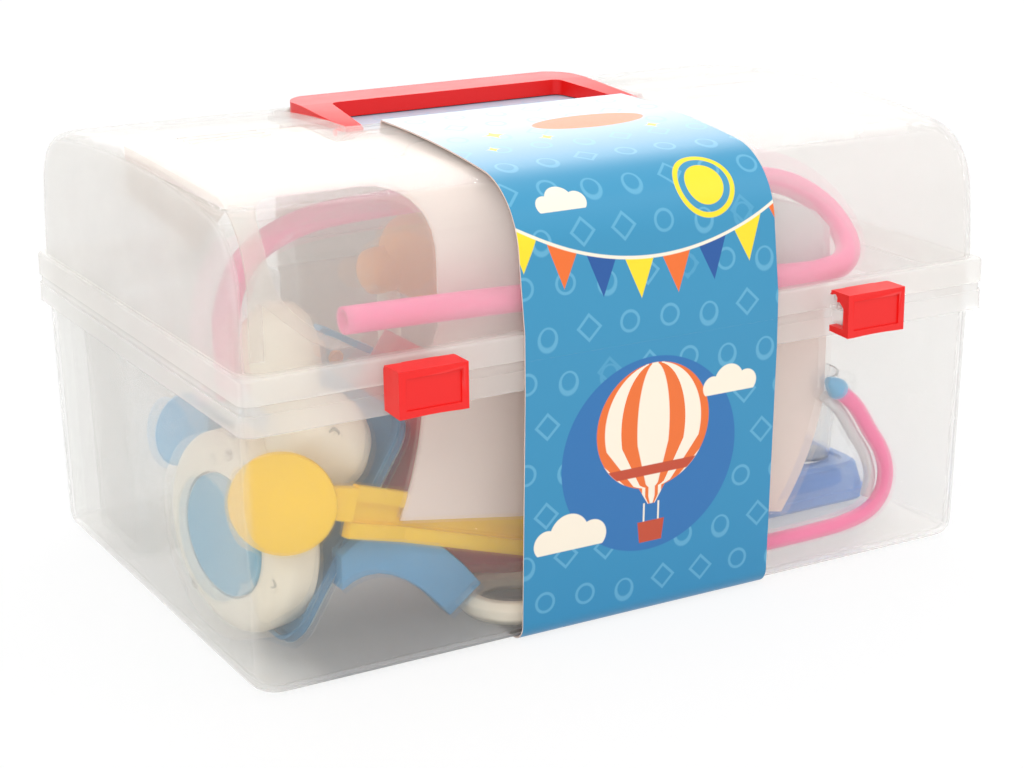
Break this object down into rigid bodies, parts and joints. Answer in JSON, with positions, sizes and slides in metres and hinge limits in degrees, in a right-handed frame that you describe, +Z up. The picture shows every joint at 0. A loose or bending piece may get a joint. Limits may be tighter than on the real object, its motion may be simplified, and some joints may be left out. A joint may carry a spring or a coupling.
{
  "type": "toy doctor case with contents",
  "caption": "Frosted toy doctor case with a domed hinged lid, bail handle, snap latches, card band and toy instruments inside.",
  "frame": {"origin": "on the ground under the middle of the closed case, latches and hinges included", "axes": "+X along the case's length to its right end as seen from the latches, +Y to the hinge side, +Z up"},
  "size_m": [0.26, 0.1914, 0.1453],
  "materials": {
    "frosted_plastic": "satin translucent polypropylene",
    "red_plastic": "gloss",
    "printed_card": "satin print",
    "white_card": "matte",
    "cream_plastic": "satin",
    "pink_vinyl": "satin",
    "pink_plastic": "satin",
    "yellow_plastic": "gloss",
    "pale_blue_plastic": "gloss",
    "grey_blue_plastic": "gloss",
    "mid_blue_plastic": "gloss",
    "deep_blue_plastic": "gloss",
    "dish_red_plastic": "gloss",
    "orange_plastic": "gloss",
    "clear_plastic": "gloss clear",
    "grey_plastic": "satin"
  },
  "bodies": {
    "case": {"tub": "frosted_plastic", "card_band_lower": "printed_card", "card_liner": "white_card", "chest_piece": "cream_plastic", "chest_dial": "grey_blue_plastic", "stethoscope_tube": "pink_vinyl", "headset_bow": "pink_plastic", "yellow_spatula": "yellow_plastic", "blue_tray": "grey_blue_plastic", "red_dish": "dish_red_plastic", "forceps_arm": "mid_blue_plastic", "forceps_grip": "cream_plastic", "otoscope_head": "cream_plastic", "blue_probe": "pale_blue_plastic", "probe_button": "orange_plastic", "hammer_head": "orange_plastic", "hammer_handle": "cream_plastic", "blue_syringe": "pale_blue_plastic", "cream_case": "cream_plastic", "blue_box": "deep_blue_plastic", "clear_cup": "clear_plastic", "grey_paddle": "grey_plastic"},
    "lid": {"lid": "frosted_plastic", "card_band_upper": "printed_card"},
    "handle": {"handle": "red_plastic"},
    "latch_left": {"latch_left": "red_plastic"},
    "latch_right": {"latch_right": "red_plastic"}
  },
  "joints": [
    {"name": "lid_hinge", "type": "hinge", "parent": "case", "child": "lid", "pos_m": [0, 0.09285, 0.08905], "axis": [-1, 0, 0], "range_deg": [0, 110]},
    {"name": "handle_hinge", "type": "hinge", "parent": "lid", "child": "handle", "pos_m": [0, 0.00795, 0.1417], "axis": [1, 0, 0], "range_deg": [0, 120]},
    {"name": "latch_left_hinge", "type": "hinge", "parent": "lid", "child": "latch_left", "pos_m": [-0.077, -0.08855, 0.093], "axis": [-1, 0, 0], "range_deg": [0, 90]},
    {"name": "latch_right_hinge", "type": "hinge", "parent": "lid", "child": "latch_right", "pos_m": [0.077, -0.08855, 0.093], "axis": [-1, 0, 0], "range_deg": [0, 90]}
  ]
}
